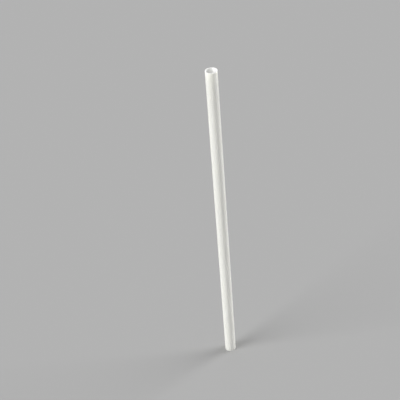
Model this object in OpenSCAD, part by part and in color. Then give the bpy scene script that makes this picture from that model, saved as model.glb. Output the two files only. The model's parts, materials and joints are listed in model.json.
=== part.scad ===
// Plain drinking straw: one straight extruded tube of thin milky plastic, cut square at both ends.
// It stands on one cut end, with its axis along Z and the middle of that end at the origin.

/* [Tube] */
// Length from cut end to cut end
straw_length = 240; // [150:1:300]
// Outside diameter of the tube
outer_diameter = 8; // [5:0.1:12]
// Thickness of the extruded wall
wall_thickness = 0.25; // [0.15:0.01:0.5]

/* [Cut ends] */
// Radius that the trimming knife leaves on both edges of each rim
rim_edge_radius = 0.06; // [0.02:0.01:0.07]

/* [Hidden] */
$fn = 96;

outer_radius = outer_diameter / 2;
inner_radius = outer_radius - wall_thickness;

// Half section of the wall: X is the distance from the axis, Y runs from one cut end to the other
module wall_section() {
    flat_rim = wall_thickness - 2 * rim_edge_radius;
    straight_run = straw_length - 2 * rim_edge_radius;
    translate([inner_radius, rim_edge_radius]) square([wall_thickness, straight_run]);
    translate([inner_radius + rim_edge_radius, 0]) square([flat_rim, straw_length]);
    for (edge_x = [inner_radius + rim_edge_radius, outer_radius - rim_edge_radius])
        for (edge_y = [rim_edge_radius, straw_length - rim_edge_radius])
            translate([edge_x, edge_y]) circle(r = rim_edge_radius);
}

// The whole straw: the wall's section carried once round the axis
module straw() {
    color("whitesmoke") rotate_extrude() wall_section();
}

straw();
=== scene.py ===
import json
import math

import bpy
from mathutils import Matrix, Vector


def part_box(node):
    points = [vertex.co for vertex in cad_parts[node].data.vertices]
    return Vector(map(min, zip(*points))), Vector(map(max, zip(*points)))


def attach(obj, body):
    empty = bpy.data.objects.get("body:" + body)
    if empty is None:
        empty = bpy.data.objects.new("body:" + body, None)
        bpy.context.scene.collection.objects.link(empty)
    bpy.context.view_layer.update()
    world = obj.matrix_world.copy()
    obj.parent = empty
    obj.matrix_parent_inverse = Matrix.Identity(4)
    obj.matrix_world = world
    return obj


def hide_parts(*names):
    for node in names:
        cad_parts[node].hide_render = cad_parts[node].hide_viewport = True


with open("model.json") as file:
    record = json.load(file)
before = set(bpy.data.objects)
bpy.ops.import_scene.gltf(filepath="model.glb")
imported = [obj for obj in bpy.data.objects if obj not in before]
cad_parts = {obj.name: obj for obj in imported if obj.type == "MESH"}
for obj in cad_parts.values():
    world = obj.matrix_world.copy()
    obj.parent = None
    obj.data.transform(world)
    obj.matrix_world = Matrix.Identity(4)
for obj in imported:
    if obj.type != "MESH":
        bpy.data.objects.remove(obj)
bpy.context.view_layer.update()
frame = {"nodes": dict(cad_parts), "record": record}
print("frame loaded:", sorted(frame["nodes"]))

scene = bpy.context.scene
scene.view_settings.view_transform = "Standard"

# the straw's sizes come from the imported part, in metres
mounts = {mount["name"]: mount for mount in frame["record"]["mounts"]}
outerRadius = mounts["outside"]["dims"]["r_mm"] / 1000
boreRadius = mounts["bore"]["dims"]["r_mm"] / 1000
wall = outerRadius - boreRadius
strawFoot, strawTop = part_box("straw")
strawLength = strawTop.z - strawFoot.z
strawMiddle = strawFoot.z + strawLength / 2

camera = {
    "frameSize": 400,  # pixels along one side of the frame
    "focalPixels": 900,  # focal length in those pixels
    "mouthPixel": (211.1, 70.4),  # where the middle of the mouth shows
    "footPixel": (230.0, 340.0),  # which way the straw runs from there
    "mouthElevation": 27,  # degrees from the rim's plane up to the line of sight
    "mouthDistance": 0.568,  # from the mouth to the lens
}


# line of sight through a pixel, in the camera's own axes
def pixelRay(pixel):
    half = camera["frameSize"] / 2
    right = (pixel[0] - half) / camera["focalPixels"]
    up = (half - pixel[1]) / camera["focalPixels"]
    return Vector((right, up, -1)).normalized()


# square axes that start along one direction and lean towards another
def axesFrom(first, second):
    across = first.cross(second).normalized()
    return Matrix((first, across.cross(first), across)).transposed()


def makeCamera():
    mouth = Vector((0, 0, strawTop.z))
    foot = Vector((0, 0, strawFoot.z))
    tilt = math.radians(camera["mouthElevation"])
    back = Vector((0, -math.cos(tilt), math.sin(tilt)))
    place = mouth + back * camera["mouthDistance"]

    # turn the camera until the mouth and the foot lie along their pixels
    seen = axesFrom(pixelRay(camera["mouthPixel"]), pixelRay(camera["footPixel"]))
    real = axesFrom((mouth - place).normalized(), (foot - place).normalized())
    bpy.ops.object.camera_add(location=place)
    made = bpy.context.object
    made.name = "camera"
    made.rotation_euler = (real @ seen.transposed()).to_euler()
    made.data.lens = made.data.sensor_width * camera["focalPixels"] / camera["frameSize"]
    scene.camera = made
    print("camera: lens", round(made.data.lens, 1), "mm")


tube = {
    "sides": 144,  # facets round the tube
    "stretches": 48,  # quads from end to end
    "knifeRadius": 0.00006,  # what the trimming knife leaves on the rims
    "knifeSegments": 4,
    "sharpAngle": 60,  # degrees, the knife rounds edges that turn by more
    "smoothAngle": 40,  # degrees, edges that turn by less are shaded smooth
}


def makeStraw():
    bpy.ops.object.select_all(action="DESELECT")
    bpy.ops.mesh.primitive_cylinder_add(
        vertices=tube["sides"], radius=outerRadius, depth=strawLength,
        end_fill_type="NOTHING", location=(0, 0, strawMiddle))
    made = bpy.context.object
    made.name = "drinkingStraw"
    bpy.ops.object.transform_apply(location=True, rotation=True, scale=True)

    # cut the long quads into stretches
    bpy.ops.object.mode_set(mode="EDIT")
    bpy.ops.mesh.select_all(action="DESELECT")
    bpy.ops.mesh.select_mode(type="EDGE")
    bpy.ops.object.mode_set(mode="OBJECT")
    points = made.data.vertices
    for edge in made.data.edges:
        low, high = (points[i].co.z for i in edge.vertices)
        edge.select = abs(high - low) > strawLength / 2
    bpy.ops.object.mode_set(mode="EDIT")
    bpy.ops.mesh.subdivide(number_cuts=tube["stretches"] - 1)
    bpy.ops.object.mode_set(mode="OBJECT")

    # the extruded wall, then the knife's rounding on both edges of each rim
    solid = made.modifiers.new("wall", "SOLIDIFY")
    solid.thickness = wall
    solid.offset = -1
    solid.use_even_offset = True
    bpy.ops.object.modifier_apply(modifier="wall")
    knife = made.modifiers.new("knife", "BEVEL")
    knife.width = tube["knifeRadius"]
    knife.segments = tube["knifeSegments"]
    knife.limit_method = "ANGLE"
    knife.angle_limit = math.radians(tube["sharpAngle"])
    bpy.ops.object.modifier_apply(modifier="knife")
    bpy.ops.object.shade_smooth_by_angle(angle=math.radians(tube["smoothAngle"]))
    print("straw:", len(made.data.vertices), "points,", len(made.data.polygons), "faces")
    return made


plastic = {
    "milk": (0.985, 0.981, 0.865, 1),  # the outside of the wall
    "thin": (0.965, 0.961, 0.84, 1),  # where the milk runs a little thin
    "bore": (0.96, 0.959, 0.925, 1),  # painted shade tint: the inside of the wall, which lies in shade, is given a cleaner white than the same plastic outside
    "cut": (0.985, 0.983, 0.93, 1),  # whitened by the knife
    "cutDepth": 0.0005,  # how far from the rim the whitening reaches
    "lineScale": (1800, 1800, 0.6),  # die lines run the length of the tube
    "lineDetail": 2,
    "lineReach": (0.3, 0.7),  # what the lines' noise mostly runs between
    "roughness": (0.25, 0.34),  # on the shiny and the dull side of the lines
    "lineDepth": 0.00005,
    "lineStrength": 0.4,
    "hazeScale": (330, 330, 50),  # slow clouds in the milk
    "hazeDetail": 3,
    "milkReach": (0.75, 1.25),  # lines and haze added up, from thin to milky
    "transmission": 0.15,
    "scatter": 1,
    "scatterDepth": 0.0003,
    "scatterColours": (1, 1, 1),  # red, green and blue go equally deep
    "ior": 1.49,
}


def milkyPlastic():
    made = bpy.data.materials.new("milkyPlastic")
    made.use_nodes = True
    nodes = made.node_tree.nodes
    link = made.node_tree.links.new
    shader = nodes["Principled BSDF"]
    place = nodes.new("ShaderNodeTexCoord").outputs["Object"]

    # a socket takes a plain value or what another node gives
    def feed(socket, value):
        if isinstance(value, bpy.types.NodeSocket):
            link(value, socket)
        else:
            socket.default_value = value

    def calculate(kind, operation, *values):
        step = nodes.new(kind)
        step.operation = operation
        for socket, value in zip(step.inputs, values):
            feed(socket, value)
        return step.outputs

    def noise(scale, detail):
        mapping = nodes.new("ShaderNodeMapping")
        feed(mapping.inputs["Vector"], place)
        feed(mapping.inputs["Scale"], scale)
        texture = nodes.new("ShaderNodeTexNoise")
        feed(texture.inputs["Vector"], mapping.outputs["Vector"])
        feed(texture.inputs["Scale"], 1)
        feed(texture.inputs["Detail"], detail)
        return texture.outputs["Fac"]

    def spread(value, reach, result=(0, 1)):
        ramp = nodes.new("ShaderNodeMapRange")
        feed(ramp.inputs["Value"], value)
        feed(ramp.inputs["From Min"], reach[0])
        feed(ramp.inputs["From Max"], reach[1])
        feed(ramp.inputs["To Min"], result[0])
        feed(ramp.inputs["To Max"], result[1])
        return ramp.outputs["Result"]

    def blend(mask, first, second):
        mix = nodes.new("ShaderNodeMix")
        mix.data_type = "RGBA"
        feed(mix.inputs["Factor"], mask)
        feed(mix.inputs["A"], first)
        feed(mix.inputs["B"], second)
        return mix.outputs["Result"]

    dieLines = noise(plastic["lineScale"], plastic["lineDetail"])
    haze = noise(plastic["hazeScale"], plastic["hazeDetail"])

    # how near a cut end is, from 0 on the wall to 1 on the rim
    split = nodes.new("ShaderNodeSeparateXYZ")
    feed(split.inputs["Vector"], place)
    height = calculate("ShaderNodeMath", "SUBTRACT", split.outputs["Z"], strawMiddle)["Value"]
    fromMiddle = calculate("ShaderNodeMath", "ABSOLUTE", height)["Value"]
    rimHeight = strawLength / 2
    cutEdge = spread(fromMiddle, (rimHeight - plastic["cutDepth"], rimHeight))

    # how far through the wall a point lies, from 0 on the bore to 1 on the outside
    flat = calculate("ShaderNodeVectorMath", "MULTIPLY", place, (1, 1, 0))["Vector"]
    fromAxis = calculate("ShaderNodeVectorMath", "LENGTH", flat)["Value"]
    through = spread(fromAxis, (boreRadius, outerRadius))

    # the milk thins out in slow clouds and along the die lines
    both = calculate("ShaderNodeMath", "ADD", dieLines, haze)["Value"]
    milkiness = spread(both, plastic["milkReach"])
    outerColour = blend(milkiness, plastic["thin"], plastic["milk"])
    # painted shade tint: towards the bore, the wall takes the cleaner white given for its shade
    shadeTintedWallColour = blend(through, plastic["bore"], outerColour)
    feed(shader.inputs["Base Color"], blend(cutEdge, shadeTintedWallColour, plastic["cut"]))
    feed(shader.inputs["Roughness"], spread(dieLines, plastic["lineReach"], plastic["roughness"]))
    bump = nodes.new("ShaderNodeBump")
    feed(bump.inputs["Strength"], plastic["lineStrength"])
    feed(bump.inputs["Distance"], plastic["lineDepth"])
    feed(bump.inputs["Height"], dieLines)
    feed(shader.inputs["Normal"], bump.outputs["Normal"])

    feed(shader.inputs["IOR"], plastic["ior"])
    feed(shader.inputs["Transmission Weight"], plastic["transmission"])
    feed(shader.inputs["Subsurface Weight"], plastic["scatter"])
    feed(shader.inputs["Subsurface Radius"], plastic["scatterColours"])
    feed(shader.inputs["Subsurface Scale"], plastic["scatterDepth"])
    print("plastic:", len(nodes), "nodes")
    return made


studio = {
    "floorGrey": 0.31,
    "floorSize": 60,
    "floorGap": 0.00002,  # keeps the floor off the lower rim's face
    "sky": 0.64,  # light from all round
    # degrees: softness is a lamp's width, azimuth turns from the front to the right
    "key": {"energy": 2.7, "softness": 35, "elevation": 30, "azimuth": -66},
    "back": {"energy": 2.65, "softness": 35, "elevation": 26, "azimuth": 111},
}


def makeFloor():
    bpy.ops.mesh.primitive_plane_add(
        size=studio["floorSize"], location=(0, 0, strawFoot.z - studio["floorGap"]))
    floor = bpy.context.object
    floor.name = "floor"
    paint = bpy.data.materials.new("floorPaint")
    paint.use_nodes = True
    grey = studio["floorGrey"]
    matt = paint.node_tree.nodes["Principled BSDF"].inputs
    matt["Base Color"].default_value = (grey, grey, grey, 1)
    matt["Roughness"].default_value = 1
    matt["Specular IOR Level"].default_value = 0
    floor.data.materials.append(paint)


# puts up a lamp and gives the light that it throws on the floor
def makeLamp(name):
    lamp = studio[name]
    up = math.radians(lamp["elevation"])
    side = math.radians(lamp["azimuth"])
    fromThere = Vector((
        math.sin(side) * math.cos(up),
        -math.cos(side) * math.cos(up),
        math.sin(up)))
    bpy.ops.object.light_add(type="SUN", location=fromThere)
    made = bpy.context.object
    made.name = name + "Light"
    made.data.energy = lamp["energy"]
    made.data.angle = math.radians(lamp["softness"])
    made.rotation_euler = (-fromThere).to_track_quat("-Z", "Y").to_euler()
    return lamp["energy"] * math.sin(up) / math.pi


# the world shows the floor's own shade past its edge, and lights with the sky
def makeWorld(floorShade):
    world = bpy.data.worlds.new("studio")
    scene.world = world
    world.use_nodes = True
    nodes = world.node_tree.nodes
    link = world.node_tree.links.new
    background = nodes["Background"]
    ray = nodes.new("ShaderNodeLightPath")
    shows = ray.outputs["Is Camera Ray"]
    for kind in ("Is Glossy Ray", "Is Transmission Ray"):
        either = nodes.new("ShaderNodeMath")
        either.operation = "MAXIMUM"
        link(shows, either.inputs[0])
        link(ray.outputs[kind], either.inputs[1])
        shows = either.outputs["Value"]
    strength = nodes.new("ShaderNodeMapRange")
    strength.inputs["To Min"].default_value = studio["sky"]
    strength.inputs["To Max"].default_value = floorShade
    link(shows, strength.inputs["Value"])
    link(strength.outputs["Result"], background.inputs["Strength"])
    background.inputs["Color"].default_value = (1, 1, 1, 1)


def makeStudio():
    makeFloor()
    onFloor = studio["sky"] + makeLamp("key") + makeLamp("back")
    floorShade = studio["floorGrey"] * onFloor
    makeWorld(floorShade)
    print("studio: floor, two lamps and sky, floor shade", round(floorShade, 3))


makeCamera()
straw = makeStraw()
straw.data.materials.append(milkyPlastic())
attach(straw, "root")
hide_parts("straw")
makeStudio()
